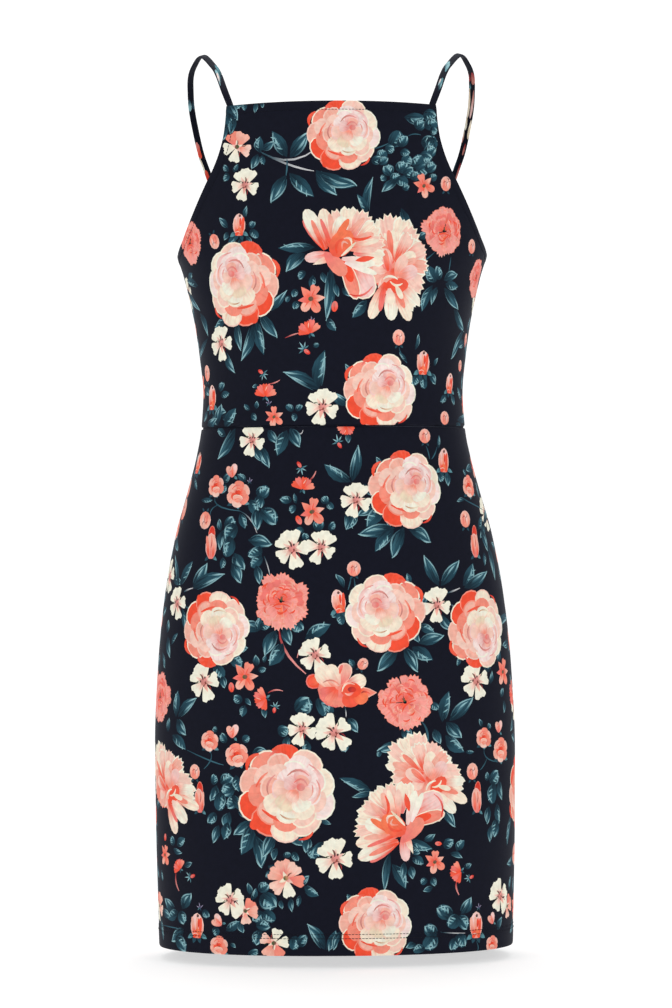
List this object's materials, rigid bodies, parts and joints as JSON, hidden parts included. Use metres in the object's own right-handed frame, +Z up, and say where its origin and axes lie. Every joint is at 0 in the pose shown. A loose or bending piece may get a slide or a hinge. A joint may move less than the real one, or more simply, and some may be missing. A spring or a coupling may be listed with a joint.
{
  "type": "slip dress",
  "caption": "Close-fitting sleeveless mini dress with a high straight neckline, thin shoulder straps and a waist seam, in printed stretch cloth, in its worn hollow shape.",
  "frame": {"origin": "midway between the undersides of the two straps, where they cross the tops of the shoulders", "axes": "+Z up, the front of the dress towards -Y, the wearer's left towards +X"},
  "size_m": [0.3454, 0.2355, 0.8538],
  "materials": {
    "printed_cloth": "smooth stretch knit, near-black navy ground with a printed floral",
    "strap_cloth": "the same cloth, folded and stitched into a narrow strap"
  },
  "bodies": {
    "root": {"front_bodice": "printed_cloth", "back_bodice": "printed_cloth", "front_skirt": "printed_cloth", "back_skirt": "printed_cloth", "strap_left": "strap_cloth", "strap_right": "strap_cloth"}
  },
  "joints": []
}
